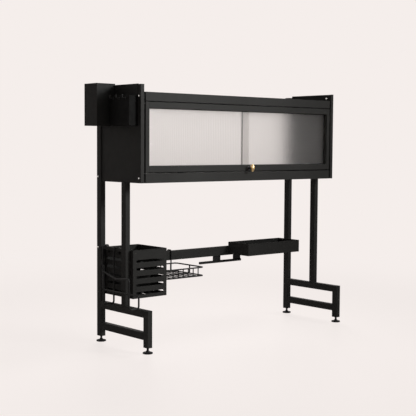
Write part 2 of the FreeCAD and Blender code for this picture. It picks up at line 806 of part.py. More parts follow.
divider_clear = "plate + hang_clearance"
piece("cutlery_divider", block(("cutlery_width - 2 * (%s)" % divider_clear, "plate", "cutlery_height / 2")),
      ("cutlery_left + " + divider_clear, "cutlery_front + (%s) / 2 - plate / 2" % CUTLERY_DEPTH,
       "cutlery_base + plate"))

# Storage tray
TRAY_DEPTH = "hang_face - tray_front"
corner = ("tray_left", "tray_front", "tray_base")
hooks = [rail_hook("tray_left + " + place, "hang_face")
         for place in ("hook_wide", "tray_width - 2 * hook_wide")]
tray = cut(open_box("tray_width", TRAY_DEPTH, "tray_height"),
           drain_slots("tray_width", "(%s) / 2 - drain_long / 2" % TRAY_DEPTH, "plate"))
piece("storage_tray", joined([tray] + moved_by(hooks, corner)), corner)

# Towel bar on two tabs under the hanging rail
bar_middle = "hang_rail_front + rail_deep / 2"
piece("towel_bar", rod("bar_radius", "bar_length", turn=ALONG_X),
      ("bar_left", bar_middle, "hang_rail_base - bar_drop"))
tabs = []
for left in ("bar_left + bar_tab_first", "bar_left + bar_length - bar_tab_wide"):
    sides = ("bar_tab_wide", "2 * plate", "bar_drop - bar_radius")
    tabs.append(block(sides, (left, bar_middle + " - plate", "hang_rail_base - bar_drop + bar_radius")))
piece("towel_bar_tabs", grouped(tabs), ORIGIN)


# Dish basket of bent wire
def basket_wires():
    wire = size("basket_wire")
    thin = size("basket_thin_wire")
    left = size("basket_left") + wire
    right = left + size("basket_width") - 2 * wire
    front = size("basket_front") + wire
    rear = size("hang_face") - wire
    low = size("basket_base") + wire
    high = size("basket_base") + size("basket_height") - wire
    bend = size("basket_corner")
    wires = []
    for height in (low, high):
        ring = [(left, front, height), (right, front, height), (right, rear, height), (left, rear, height)]
        wires.append(bent_rod(ring, wire, bend, closed=True))
    pitch = size("hook_wide") + 2 * wire
    count = int((right - left - 2 * bend) / pitch)
    first = (left + right - (count - 1) * pitch) / 2
    for index in range(count):
        across = first + index * pitch
        cradle = [(across, front, high), (across, front, low), (across, rear, low), (across, rear, high)]
        wires.append(bent_rod(cradle, thin, 3 * thin))
    middle = (front + rear) / 2
    band = [(left, middle, high), (left, middle, low), (right, middle, low), (right, middle, high)]
    wires.append(bent_rod(band, wire, 3 * wire))
    over = size("hang_rail_top") + size("hang_clearance") + wire
    behind = size("hang_rail_front") + size("rail_deep") + size("hang_clearance") + wire
    for across in (left + 2 * bend, right - 2 * bend):
        hook = [(across, rear, low), (across, rear, over), (across, behind, over),
                (across, behind, over - size("hook_drop"))]
        wires.append(bent_rod(hook, wire, 2 * wire))
    return wires


wires = basket_wires()
shaped("dish_basket", wires[0].multiFuse(wires[1:]).removeSplitter())


# Cutting-board holder: two bent rods that cross where they are welded
def board_rods():
    rod_radius = size("board_rod")
    bend = size("board_bend")
    inner = size("board_inner")
    outer = size("board_outer")
    beside = inner - size("board_lap")
    base = size("board_base")
    front = size("board_front")
    rear = size("board_rear")
    hook_rear = size("board_hook_rear")
    over = size("side_rail_top") + size("hang_clearance") + rod_radius
    behind = size("side_rail_inset") + size("side_rail_size") + size("hang_clearance") + rod_radius
    down = over - size("hook_drop") - bend
    tip = base + size("board_tip_height")
    corner_top = base + size("board_corner_height")
    brace = base + size("board_brace_height")
    rear_rod = [(behind, rear, down), (behind, rear, over), (inner, rear, over), (inner, rear, base),
                (outer, rear, base), (outer, rear, tip)]
    middle = (front + rear) / 2
    weld = rear - rod_radius / 3
    front_rod = [(behind, hook_rear, down), (behind, hook_rear, over), (beside, hook_rear, over),
                 (beside, hook_rear, brace), (beside, front, brace), (beside, front, base),
                 (outer, front, base), (outer, front, corner_top),
                 (outer, middle, corner_top - size("board_sag")),
                 (outer, weld, base + size("board_join_height"))]
    over_rail = [rod_radius + size("tube_round")] * 2
    rear_bends = over_rail + [bend] * 2
    front_bends = over_rail + [bend] * 5 + [6 * bend]
    return [bent_rod(rear_rod, rod_radius, rear_bends), bent_rod(front_rod, rod_radius, front_bends)]


rods = board_rods()
shaped("cutting_board_holder", rods[0].multiFuse(rods[1:]).removeSplitter())

# Side caddy: a plate that hooks over the left panel, with the utensil box and knife holder on it
lip_face = "panel_inner + hang_clearance - caddy_plate_out"
caddy_height = "panel_top + hang_clearance - caddy_base"
caddy_plate = joined([
    block(("plate", "caddy_length", caddy_height)),
    block((lip_face + " + plate", "caddy_length", "plate"), ("0", "0", caddy_height)),
    block(("plate", "caddy_length", "caddy_lip"), (lip_face, "0", caddy_height + " + plate - caddy_lip")),
])
piece("caddy_plate", caddy_plate, ("caddy_plate_out", "caddy_front", "caddy_base"))
piece("utensil_box", open_box("box_size", "box_size", "box_height"),
      ("caddy_plate_out - box_size", "box_rear - box_size", "caddy_base"))

KNIFE_SLOTS = 3
knife_body = block(("knife_depth", "knife_length", "knife_height"))
knife_hollow = block(("knife_depth - 2 * plate", "knife_length - 2 * plate", "knife_height - plate"),
                     ("plate", "plate", "0"))
slots = []
for index in range(KNIFE_SLOTS):
    middle = "knife_first + %d * knife_pitch" % index
    sides = ("knife_slot_long", "knife_slot_wide", "3 * plate")
    slots.append(block(sides, ("(knife_depth - knife_slot_long) / 2", middle + " - knife_slot_wide / 2",
                               "knife_height - 2 * plate")))
piece("knife_holder", cut(knife_body, [knife_hollow] + slots),
      ("caddy_plate_out - knife_depth", "caddy_front", "caddy_base"))


def utensil_hooks():
    wire = size("hook_wire")
    face = size("caddy_plate_out") - size("knife_depth")
    out = face - size("hook_reach")
    low = size("knife_top") - size("hook_below_top")
    hooks = []
    for index in range(KNIFE_SLOTS):
        across = size("caddy_front") + size("knife_first") + index * size("knife_pitch")
        route = [(face, across, low), (out, across, low), (out, across, low + size("hook_rise"))]
        hooks.append(bent_rod(route, wire, 2 * wire))
    return Part.Compound(hooks)


shaped("utensil_hooks", utensil_hooks())

doc.recompute()
for thing in doc.Objects:
    state = [word for word in thing.State if word in ("Invalid", "Error")]
    if state:
        raise RuntimeError("%s (%s) is %s" % (thing.Name, thing.Label, state))

os.makedirs("parts", exist_ok=True)
for solid in PIECES:
    shape = solid.Shape
    if shape.isNull() or not shape.isValid() or not shape.Solids:
        raise RuntimeError("%s has no sound shape" % solid.Label)
    shape.exportStep("parts/%s.step" % solid.Label)
    print(solid.Label, len(shape.Solids), "solids, volume", round(shape.Volume))
print(len(PIECES), "pieces")
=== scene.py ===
# %% [markdown]
# # An over-sink dish rack
# A black rack of tube and folded sheet straddles a sink. It has a cabinet with a frosted
# door on top, and caddies that hang on its rails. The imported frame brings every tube,
# sheet and wire at its true place and size. Blender adds what a solid model leaves plain:
# the finish of each surface, and small forms such as threads, rolled rims and flutes.

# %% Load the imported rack
import math

import bmesh
import bpy
from mathutils import Matrix, Vector


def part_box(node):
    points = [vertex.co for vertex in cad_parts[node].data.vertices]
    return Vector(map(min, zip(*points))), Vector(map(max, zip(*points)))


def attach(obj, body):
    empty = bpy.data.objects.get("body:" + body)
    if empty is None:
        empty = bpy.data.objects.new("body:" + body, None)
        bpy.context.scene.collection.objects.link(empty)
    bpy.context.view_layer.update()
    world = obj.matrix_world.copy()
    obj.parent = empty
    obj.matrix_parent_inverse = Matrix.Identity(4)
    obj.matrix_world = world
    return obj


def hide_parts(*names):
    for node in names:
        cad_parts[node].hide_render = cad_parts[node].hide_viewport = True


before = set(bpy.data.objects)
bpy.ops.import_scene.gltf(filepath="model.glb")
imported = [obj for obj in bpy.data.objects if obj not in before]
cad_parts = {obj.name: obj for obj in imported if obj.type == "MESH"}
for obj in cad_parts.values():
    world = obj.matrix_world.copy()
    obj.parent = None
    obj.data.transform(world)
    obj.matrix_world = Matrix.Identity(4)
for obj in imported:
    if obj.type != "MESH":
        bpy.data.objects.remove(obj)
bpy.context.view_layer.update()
MM = 0.001

# %% [markdown]
# ## The camera
# The camera could be placed by eye, but the rack's straight tubes let it be worked out.
# The lines of its tubes, cabinet and door were matched to the photograph's, which
# gives the eye point, the three angles and the focal length in pixels.

# %% Place the camera
PICTURE_PIXELS = 416
FOCAL_PIXELS = 971.64
EYE = Vector((-2.36858, -2.68035, 0.69436))
YAW, PITCH, ROLL = (math.radians(angle) for angle in (40.796, -3.7285, 0.3614))

flat = math.cos(PITCH)
looking = Vector((math.sin(YAW) * flat, math.cos(YAW) * flat, math.sin(PITCH)))
level = Vector((math.cos(YAW), -math.sin(YAW), 0.0))
above = level.cross(looking)
rightward = level * math.cos(ROLL) + above * math.sin(ROLL)
upward = above * math.cos(ROLL) - level * math.sin(ROLL)

lens = bpy.data.cameras.new("photo_camera")
lens.sensor_width = 36.0
lens.lens = FOCAL_PIXELS / PICTURE_PIXELS * lens.sensor_width
lens.clip_end = 60.0
camera = bpy.data.objects.new("photo_camera", lens)
turn = Matrix((rightward, upward, -looking)).transposed().to_4x4()
camera.matrix_world = Matrix.Translation(EYE) @ turn
bpy.context.scene.collection.objects.link(camera)
bpy.context.scene.camera = camera
bpy.context.scene.view_settings.view_transform = "Standard"
print("lens:", round(lens.lens, 2), "mm")

# %% [markdown]
# ## The room
# The photograph has a pale, warm backdrop with no line between floor and wall. The world
# shows that colour to the camera, through the panes and in shiny metal. Rays that a
# surface scatters find a much weaker grey, so that black paint stays black.

# %% Light the world
BACKDROP = (0.913, 0.855, 0.831, 1.0)
ROOM_LIGHT = 0.12

world = bpy.data.worlds.new("pale_room")
world.use_nodes = True
bpy.context.scene.world = world
sky = world.node_tree
shown = sky.nodes["Background"]
shown.inputs["Color"].default_value = BACKDROP


def sky_sum(operation, first, second):
    """A math node whose two inputs are numbers or other nodes' outputs."""
    node = sky.nodes.new("ShaderNodeMath")
    node.operation = operation
    for socket, source in zip(node.inputs, (first, second)):
        if isinstance(source, float):
            socket.default_value = source
        else:
            sky.links.new(source, socket)
    return node.outputs[0]


rays = sky.nodes.new("ShaderNodeLightPath").outputs
straight = sky_sum("MAXIMUM", rays["Is Camera Ray"], rays["Is Transmission Ray"])
seen = sky_sum("MAXIMUM", straight, rays["Is Glossy Ray"])
sky.links.new(sky_sum("MAXIMUM", seen, ROOM_LIGHT), shown.inputs["Strength"])


# %% [markdown]
# ## The lamps
# In the photograph the faces towards the front are dark grey, and grow darker from left
# to right. The faces towards the left are nearly black. So the main lamp hangs in front
# of the rack on its right, where left faces don't see it, and its beam is narrow and
# points at the left end. A weaker lamp above picks out the upper edges, and one behind
# shows the back and the right side, which the photograph doesn't see. That one is kept
# out of the panes and of reflections, or it would shine through the door.

# %% Hang the lamps
def hang_lamp(name, place, target, size, watts, spread=180.0):
    """A square soft lamp that points at a target and isn't seen itself."""
    glow = bpy.data.lights.new(name, "AREA")
    glow.size = size
    glow.energy = watts
    glow.spread = math.radians(spread)
    lamp = bpy.data.objects.new(name, glow)
    lamp.location = place
    lamp.rotation_euler = (Vector(target) - Vector(place)).to_track_quat("-Z", "Y").to_euler()
    lamp.visible_camera = False
    bpy.context.scene.collection.objects.link(lamp)
    return lamp


hang_lamp("front_lamp", (0.8, -1.9, 1.42), (-0.62, 0.0, 0.7), 0.6, 5.9, 66.0)
hang_lamp("top_lamp", (1.4, -0.3, 2.5), (-0.4, 0.1, 0.4), 0.8, 6.0, 80.0)
back_lamp = hang_lamp("back_lamp", (1.6, 2.0, 1.1), (0.05, 0.0, 0.5), 0.8, 6.5, 50.0)
back_lamp.visible_transmission = False
back_lamp.visible_glossy = False


# %% [markdown]
# ## The floor
# A wide disc carries the shadows. For the camera it is mostly its own pale colour, so it
# meets the backdrop with no horizon, and partly a matt surface that lamps can shade.

# %% Lay the floor
FLOOR_RADIUS = 7.0

floor_mesh = bmesh.new()
bmesh.ops.create_circle(floor_mesh, cap_ends=True, segments=96, radius=FLOOR_RADIUS)
floor_data = bpy.data.meshes.new("floor")
floor_mesh.to_mesh(floor_data)
floor_mesh.free()
floor = bpy.data.objects.new("floor", floor_data)
bpy.context.scene.collection.objects.link(floor)

paving = bpy.data.materials.new("pale_floor")
paving.use_nodes = True
tree = paving.node_tree
matt = tree.nodes["Principled BSDF"]
matt.inputs["Base Color"].default_value = (0.66, 0.62, 0.60, 1.0)
matt.inputs["Roughness"].default_value = 0.42
pale = tree.nodes.new("ShaderNodeEmission")
pale.inputs["Color"].default_value = BACKDROP
place = tree.nodes.new("ShaderNodeTexCoord")
reach = tree.nodes.new("ShaderNodeVectorMath")
reach.operation = "LENGTH"
FADE_FROM, FADE_TO = 0.7, 2.6
NEAR_SHARE, NEAR_GLOW = 0.76, 1.14


def fade_out(near, far):
    """A value that goes from near, by the rack, to far, out on the floor."""
    fade = tree.nodes.new("ShaderNodeMapRange")
    fade.interpolation_type = "SMOOTHSTEP"
    limits = {"From Min": FADE_FROM, "From Max": FADE_TO, "To Min": near, "To Max": far}
    for name, value in limits.items():
        fade.inputs[name].default_value = value
    tree.links.new(reach.outputs["Value"], fade.inputs["Value"])
    return fade.outputs["Result"]


rays = tree.nodes.new("ShaderNodeLightPath")
share = tree.nodes.new("ShaderNodeMath")
share.operation = "MULTIPLY"
blend = tree.nodes.new("ShaderNodeMixShader")
tree.links.new(place.outputs["Object"], reach.inputs[0])
tree.links.new(fade_out(NEAR_SHARE, 1.0), share.inputs[0])
tree.links.new(fade_out(NEAR_GLOW, 1.0), pale.inputs["Strength"])
tree.links.new(rays.outputs["Is Camera Ray"], share.inputs[1])
tree.links.new(share.outputs[0], blend.inputs[0])
tree.links.new(matt.outputs[0], blend.inputs[1])
tree.links.new(pale.outputs[0], blend.inputs[2])
tree.links.new(blend.outputs[0], tree.nodes["Material Output"].inputs["Surface"])
floor_data.materials.append(paving)


# %% [markdown]
# ## Powder coat
# The rack is painted with black powder that melts in an oven. It leaves a matt skin with
# a fine orange peel, so a plain colour would look like plastic film. Three noises do it:
# a fine one for the peel, a wide one for colour and one for gloss.

# %% Make the powder coats
def start_finish(name, colour, roughness, metallic=0.0, shine=0.15):
    """A material with the values that are the same all over it already set."""
    finish = bpy.data.materials.new(name)
    finish.use_nodes = True
    shader = finish.node_tree.nodes["Principled BSDF"]
    shader.inputs["Base Color"].default_value = (*colour, 1.0)
    shader.inputs["Roughness"].default_value = roughness
    shader.inputs["Metallic"].default_value = metallic
    shader.inputs["Specular IOR Level"].default_value = shine
    return finish


def add_noise(finish, scale, detail=2.0, stretch=(1.0, 1.0, 1.0)):
    """Noise that sticks to the piece, with its scale in cells to the metre."""
    tree = finish.node_tree
    where = tree.nodes.new("ShaderNodeTexCoord")
    mapping = tree.nodes.new("ShaderNodeMapping")
    mapping.inputs["Scale"].default_value = stretch
    noise = tree.nodes.new("ShaderNodeTexNoise")
    noise.inputs["Scale"].default_value = scale
    noise.inputs["Detail"].default_value = detail
    tree.links.new(where.outputs["Object"], mapping.inputs["Vector"])
    tree.links.new(mapping.outputs["Vector"], noise.inputs["Vector"])
    return noise


def add_peel(finish, noise, strength, depth):
    """Turn a noise into small bumps of this depth."""
    tree = finish.node_tree
    bump = tree.nodes.new("ShaderNodeBump")
    bump.inputs["Strength"].default_value = strength
    bump.inputs["Distance"].default_value = depth
    tree.links.new(noise.outputs["Fac"], bump.inputs["Height"])
    tree.links.new(bump.outputs["Normal"], tree.nodes["Principled BSDF"].inputs["Normal"])


def vary_colour(finish, noise, dark, light):
    """Let the colour drift between two near shades."""
    tree = finish.node_tree
    ramp = tree.nodes.new("ShaderNodeValToRGB")
    ramp.color_ramp.elements[0].position = 0.3
    ramp.color_ramp.elements[1].position = 0.7
    ramp.color_ramp.elements[0].color = (*dark, 1.0)
    ramp.color_ramp.elements[1].color = (*light, 1.0)
    tree.links.new(noise.outputs["Fac"], ramp.inputs["Fac"])
    tree.links.new(ramp.outputs["Color"], tree.nodes["Principled BSDF"].inputs["Base Color"])


def vary_gloss(finish, noise, low, high):
    """Let the roughness drift between two values."""
    tree = finish.node_tree
    span = tree.nodes.new("ShaderNodeMapRange")
    for name, value in (("From Min", 0.3), ("From Max", 0.7), ("To Min", low), ("To Max", high)):
        span.inputs[name].default_value = value
    tree.links.new(noise.outputs["Fac"], span.inputs["Value"])
    tree.links.new(span.outputs["Result"], tree.nodes["Principled BSDF"].inputs["Roughness"])


def powder_coat(name, shade, gloss=0.5):
    """Black paint whose shade is the linear grey of its lightest parts."""
    light = (shade, shade, shade * 0.96)
    dark = tuple(channel * 0.82 for channel in light)
    finish = start_finish(name, light, gloss, shine=0.05)
    vary_colour(finish, add_noise(finish, 7.0, 4.0), dark, light)
    vary_gloss(finish, add_noise(finish, 60.0, 3.0), gloss - 0.05, gloss + 0.08)
    add_peel(finish, add_noise(finish, 1100.0, 1.0), 0.22, 0.00025)
    return finish


frame_coat = powder_coat("frame_powder_coat", 0.040)
cabinet_coat = powder_coat("cabinet_powder_coat", 0.044)
door_coat = powder_coat("door_powder_coat", 0.044)
caddy_coat = powder_coat("caddy_powder_coat", 0.036)
# The knife holder is black paint, darkened far below the other caddies' grey so that it also carries
# painted shade for the shadow on the holder's front.
knife_coat_painted_shade = powder_coat("knife_holder_coat_painted_shade", 0.006, 0.58)

# %% [markdown]
# ## Wire coat, moulded parts and bare metal
# Wire is dipped rather than sprayed, so its coat is smoother and glossier. Caps and foot
# pads are moulded, screws are zinc plated, and the knob is brass with faint polishing
# lines. Each gets its own noise at the scale of its real marks.

# %% Make the small parts' finishes
wire_coat = start_finish("wire_dip_coat", (0.016, 0.016, 0.016), 0.38)
vary_gloss(wire_coat, add_noise(wire_coat, 90.0, 2.0), 0.32, 0.46)
add_peel(wire_coat, add_noise(wire_coat, 420.0, 1.0), 0.12, 0.0002)

moulded_black = start_finish("moulded_black", (0.020, 0.020, 0.020), 0.55)
vary_gloss(moulded_black, add_noise(moulded_black, 120.0, 3.0), 0.48, 0.62)
add_peel(moulded_black, add_noise(moulded_black, 1800.0, 1.0), 0.18, 0.0001)

pad_rubber = start_finish("pad_rubber", (0.013, 0.013, 0.014), 0.7)
vary_colour(pad_rubber, add_noise(pad_rubber, 160.0, 4.0), (0.010,) * 3, (0.018,) * 3)
add_peel(pad_rubber, add_noise(pad_rubber, 900.0, 2.0), 0.25, 0.0002)

black_oxide = start_finish("black_oxide_steel", (0.035, 0.035, 0.037), 0.42, 0.7)
vary_gloss(black_oxide, add_noise(black_oxide, 300.0, 3.0), 0.34, 0.5)

zinc = start_finish("zinc_plate", (0.95, 0.95, 0.93), 0.3, 1.0, 0.5)
vary_colour(zinc, add_noise(zinc, 260.0, 3.0), (0.86, 0.86, 0.84), (0.97, 0.97, 0.95))
vary_gloss(zinc, add_noise(zinc, 500.0, 2.0), 0.24, 0.38)

brass = start_finish("polished_brass", (0.83, 0.60, 0.30), 0.24, 1.0, 0.5)
vary_colour(brass, add_noise(brass, 140.0, 3.0), (0.72, 0.50, 0.22), (0.88, 0.66, 0.36))
vary_gloss(brass, add_noise(brass, 300.0, 2.0, (1.0, 1.0, 9.0)), 0.18, 0.32)

magnet_plastic = start_finish("catch_plastic", (0.024, 0.024, 0.024), 0.5)
add_peel(magnet_plastic, add_noise(magnet_plastic, 1500.0, 1.0), 0.2, 0.0001)

# %% [markdown]
# ## Frosted panes
# The door's panes let light through but blur what is behind them. The cabinet has no
# back, so the left of the door shows the bright wall, and the right of it the dark inside
# of the end panel. A rough transmitting shader gives that by itself. A small share of
# plain white is left in it, since ground glass also catches some light on its own face.

# %% Make the frosted glass
frosted = start_finish("frosted_pane", (0.82, 0.81, 0.80), 0.4, shine=0.5)
glass = frosted.node_tree.nodes["Principled BSDF"]
glass.inputs["Transmission Weight"].default_value = 0.95
glass.inputs["IOR"].default_value = 1.26
vary_gloss(frosted, add_noise(frosted, 900.0, 2.0), 0.32, 0.42)
add_peel(frosted, add_noise(frosted, 1400.0, 1.0), 0.1, 0.0001)

# %% [markdown]
# ## Paint every node
# The frame's own meshes keep their shapes, so their finish is all that they need. A table
# from finish to nodes is easier to check than a line for each node.

# %% Give the frame's nodes their finishes
SIDES = ("left", "right")
FEET = ("left_front", "left_rear", "right_front", "right_rear")
FINISHES = {
    frame_coat: [side + part for side in SIDES
                 for part in ("_rear_post", "_mid_post", "_front_leg", "_upper_bar", "_lower_bar")]
    + ["hanging_rail", "back_bottom_rail", "back_top_rail", "left_side_rail"],
    cabinet_coat: ["left_side_panel", "right_side_panel", "top_shelf", "bottom_shelf",
                   "top_front_rail", "bottom_front_rail", "hinge_brackets"],
    door_coat: ["door_bottom_rail", "door_top_rail", "left_door_stile", "right_door_stile",
                "seam_strip", "pane_clips"],
    caddy_coat: ["storage_tray", "cutlery_box", "cutlery_divider", "caddy_plate", "utensil_box"],
    knife_coat_painted_shade: ["knife_holder"],
    wire_coat: ["dish_basket", "cutting_board_holder", "utensil_hooks", "towel_bar",
                "towel_bar_tabs"],
    moulded_black: ["post_caps", "leg_caps", "foot_inserts"],
    magnet_plastic: ["magnet_catches"],
    zinc: ["left_screws", "right_screws", "knob_screw", "strike_plates"],
    frosted: ["left_pane", "right_pane"],
    brass: ["knob"],
    pad_rubber: [foot + "_foot_pad" for foot in FEET],
    black_oxide: [foot + "_foot_screw" for foot in FEET] + ["hinge_pins"],
}
for finish, names in FINISHES.items():
    for name in names:
        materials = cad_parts[name].data.materials
        materials.clear()
        materials.append(finish)
painted = {name for names in FINISHES.values() for name in names}
print("without a finish:", sorted(set(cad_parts) - painted))

# %% [markdown]
# ## Tools for new pieces
# Most of the small forms are one of three kinds. Some are turned about an axis, like a
# foot pad. Some are a round section run along a path, like a rolled rim. Some are blocks
# with soft edges, like a cap. A helper for each kind keeps the later cells short, and all
# of them write into a bmesh, so that one piece can hold several forms.

# %% Write the mesh helpers
LEFT_FACE = 442.75
FRONT_FACE = 148.0


def at(x, y, z):
    """A point given in millimetres from the left face, the front legs and the worktop."""
    return Vector((x - LEFT_FACE, y - FRONT_FACE, z)) * MM


def turn_profile(mesh, profile, start, along, sides=32, reshape=None):
    """Turn radius and height pairs, in millimetres, about an axis from start."""
    turn = Matrix.Translation(start) @ Vector(along).to_track_quat("Z", "Y").to_matrix().to_4x4()
    rings = []
    for radius, height in profile:
        ring = []
        for number in range(sides):
            angle = 2 * math.pi * number / sides
            point = Vector((radius * math.cos(angle), radius * math.sin(angle), height))
            if reshape:
                point = reshape(point, number)
            ring.append(mesh.verts.new(turn @ (point * MM)))
        rings.append(ring)
    for lower, upper in zip(rings, rings[1:]):
        for number in range(sides):
            following = (number + 1) % sides
            mesh.faces.new((lower[number], lower[following], upper[following], upper[number]))
    mesh.faces.new(list(reversed(rings[0])))
    mesh.faces.new(rings[-1])


def run_section(mesh, path, radii, sides=8, closed=False):
    """Run a round section along a path; radii is one radius or one for each point."""
    count = len(path)
    if not isinstance(radii, (list, tuple)):
        radii = [radii] * count
    rings = []
    across = None
    for number, point in enumerate(path):
        before = path[number - 1] if closed or number else point
        after = path[(number + 1) % count] if closed or number < count - 1 else point
        heading = (after - before).normalized()
        if across is None:
            across = heading.orthogonal().normalized()
        across = (across - heading * across.dot(heading)).normalized()
        beside = heading.cross(across)
        ring = []
        for side in range(sides):
            angle = 2 * math.pi * side / sides
            offset = across * math.cos(angle) + beside * math.sin(angle)
            ring.append(mesh.verts.new(point + offset * radii[number] * MM))
        rings.append(ring)
    pairs = list(zip(rings, rings[1:]))
    if closed:
        pairs.append((rings[-1], rings[0]))
    for here, there in pairs:
        for side in range(sides):
            following = (side + 1) % sides
            mesh.faces.new((here[side], here[following], there[following], there[side]))
    if not closed:
        mesh.faces.new(list(reversed(rings[0])))
        mesh.faces.new(rings[-1])


def soft_block(mesh, low, high, edge, steps=2):
    """A block between two corners whose edges are rounded by edge millimetres."""
    size = high - low
    place = Matrix.Translation((low + high) / 2) @ Matrix.Diagonal((*size, 1.0))
    made = bmesh.ops.create_cube(mesh, size=1.0, matrix=place)
    edges = list({edge_here for vert in made["verts"] for edge_here in vert.link_edges})
    bmesh.ops.bevel(mesh, geom=edges, offset=edge * MM, segments=steps, profile=0.5, affect="EDGES")


def rounded_path(corners, radius, steps=4):
    """A closed path through corners, each cut by a short curve."""
    path = []
    count = len(corners)
    for number, corner in enumerate(corners):
        before = corner + (corners[number - 1] - corner).normalized() * radius * MM
        after = corner + (corners[(number + 1) % count] - corner).normalized() * radius * MM
        for step in range(steps + 1):
            share = step / steps
            rest = 1 - share
            path.append(before * rest ** 2 + corner * 2 * share * rest + after * share ** 2)
    return path


def finish_piece(name, mesh, finish, body, stands_for=(), crease=35.0):
    """Make the bmesh an object, give it its finish and its body, and smooth it."""
    bmesh.ops.remove_doubles(mesh, verts=mesh.verts, dist=1e-6)
    bmesh.ops.recalc_face_normals(mesh, faces=mesh.faces)
    data = bpy.data.meshes.new(name)
    mesh.to_mesh(data)
    mesh.free()
    data.materials.append(finish)
    data.shade_smooth()
    data.set_sharp_from_angle(angle=math.radians(crease))
    thing = bpy.data.objects.new(name, data)
    bpy.context.scene.collection.objects.link(thing)
    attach(thing, body)
    if stands_for:
        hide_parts(*stands_for)
    print(name, len(data.vertices), "points")
    return thing


# %% [markdown]
# ## Levelling feet
# Each foot is a rubber pad with a hexagon nut and a threaded stem that screws into the
# leg. A screw thread is a ridge that climbs as it goes round. It can be made from plain
# rings whose radius rises and falls with height plus angle, with no special tool.

# %% Make the feet
STEM_RADIUS = 4.0
THREAD_PITCH = 1.25
THREAD_DEPTH = 0.55
STEM_TOP = 46.0
NUT_ACROSS = 6.5
NUT_HEIGHT = 4.0
RIB_DEPTH = 0.35


def ribbed(point, number):
    """Push every other point of the pad's rim inwards, so that the rim is ribbed."""
    if point.xy.length > 15.5 and 0.6 < point.z < 4.0 and number % 2:
        point.xy = point.xy * (1 - RIB_DEPTH / point.xy.length)
    return point


def threaded(point, number, sides=28):
    """Raise a ridge that climbs one pitch with each turn."""
    phase = (point.z / THREAD_PITCH - number / sides) % 1.0
    ridge = 1 - abs(2 * phase - 1)
    reach = STEM_RADIUS - THREAD_DEPTH + THREAD_DEPTH * min(1.0, ridge * 1.3)
    point.xy = point.xy.normalized() * reach
    return point


PAD_PROFILE = ((0.01, 0.0), (15.8, 0.0), (16.8, 0.6), (17.0, 1.2), (17.0, 3.5), (16.6, 4.3),
               (15.6, 4.9), (13.0, 5.3), (9.0, 5.6), (7.2, 5.8), (6.6, 6.0), (0.01, 6.0))
NUT_PROFILE = ((0.01, 0.0), (5.6, 0.0), (NUT_ACROSS, 0.5), (NUT_ACROSS, NUT_HEIGHT - 0.5),
               (5.6, NUT_HEIGHT), (0.01, NUT_HEIGHT))
STEPS = 6
rings = int((STEM_TOP - NUT_HEIGHT) / THREAD_PITCH * STEPS)
STEM_PROFILE = [(STEM_RADIUS, NUT_HEIGHT + (STEM_TOP - NUT_HEIGHT) * ring / rings)
                for ring in range(rings + 1)]

for foot in FEET:
    low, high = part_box(foot + "_foot_pad")
    middle = (low + high) / 2
    mesh = bmesh.new()
    ground = Vector((middle.x, middle.y, low.z))
    turn_profile(mesh, PAD_PROFILE, ground, (0, 0, 1), sides=96, reshape=ribbed)
    finish_piece(foot + "_ribbed_pad", mesh, pad_rubber, foot + "_foot",
                 [foot + "_foot_pad"])
    mesh = bmesh.new()
    base = Vector((middle.x, middle.y, high.z))
    turn_profile(mesh, NUT_PROFILE, base, (0, 0, 1), sides=6)
    turn_profile(mesh, STEM_PROFILE, base, (0, 0, 1), sides=28, reshape=threaded)
    finish_piece(foot + "_threaded_stem", mesh, black_oxide, foot + "_foot",
                 [foot + "_foot_screw"])

# %% [markdown]
# ## Screws
# The bright dots on the rack's sides are pan-head screws. Only their heads show, so a
# domed disc of fine rings is enough, and its points are pushed in where the driver's
# cross goes. That gives a real recess that catches light, which a bump wouldn't.

# %% Make the screws
HEAD_RADIUS = 3.2
HEAD_HEIGHT = 2.0
CROSS_REACH = 1.75
CROSS_HALF = 0.42
CROSS_DEPTH = 1.2


def crossed(point, number):
    """Sink the driver's cross into the head."""
    near, far = sorted((abs(point.x), abs(point.y)))
    if point.z > 0.6 and near < CROSS_HALF and far < CROSS_REACH:
        point.z -= CROSS_DEPTH * (1 - 0.55 * far / CROSS_REACH)
    return point


def head_height(radius):
    """The height of the domed head at a distance from its axis."""
    return 0.7 + (HEAD_HEIGHT - 0.7) * math.sqrt(max(0.0, 1 - (radius / HEAD_RADIUS) ** 2))


HEAD_RINGS = 26
head = [(0.01, 0.0), (HEAD_RADIUS, 0.0)]
head += [(HEAD_RADIUS * (1 - ring / HEAD_RINGS) + 0.01, head_height(HEAD_RADIUS * (1 - ring / HEAD_RINGS)))
         for ring in range(HEAD_RINGS + 1)]
SHANK = ((0.01, -9.0), (1.2, -9.0), (2.0, -7.5), (2.0, 0.0), (0.01, 0.0))

POST_ROW = 288.0
PANEL_ROW = 57.0
LOW_ROW, HIGH_ROW, RAIL_ROW = 581.0, 853.5, 334.0
SCREW_PLACES = {
    "left": [(0, POST_ROW, LOW_ROW), (0, POST_ROW, HIGH_ROW), (0, POST_ROW, RAIL_ROW),
             (5, PANEL_ROW, LOW_ROW), (5, PANEL_ROW, HIGH_ROW)],
    "right": [(950, POST_ROW, LOW_ROW), (950, POST_ROW, HIGH_ROW),
              (945, PANEL_ROW, LOW_ROW), (945, PANEL_ROW, HIGH_ROW)],
}
for side, places in SCREW_PLACES.items():
    outward = (-1, 0, 0) if side == "left" else (1, 0, 0)
    mesh = bmesh.new()
    for place in places:
        turn_profile(mesh, head, at(*place), outward, sides=64, reshape=crossed)
        turn_profile(mesh, SHANK, at(*place), outward, sides=16)
    finish_piece(side + "_pan_screws", mesh, zinc, "frame", [side + "_screws"])

# %% [markdown]
# ## Caps
# Moulded caps close the open ends of the posts and front legs. A cap is a thin lid with
# soft edges, on a plug that grips the tube.

# %% Make the caps
TUBE_WIDE, TUBE_DEEP = 20.0, 25.0
WALL = 1.3


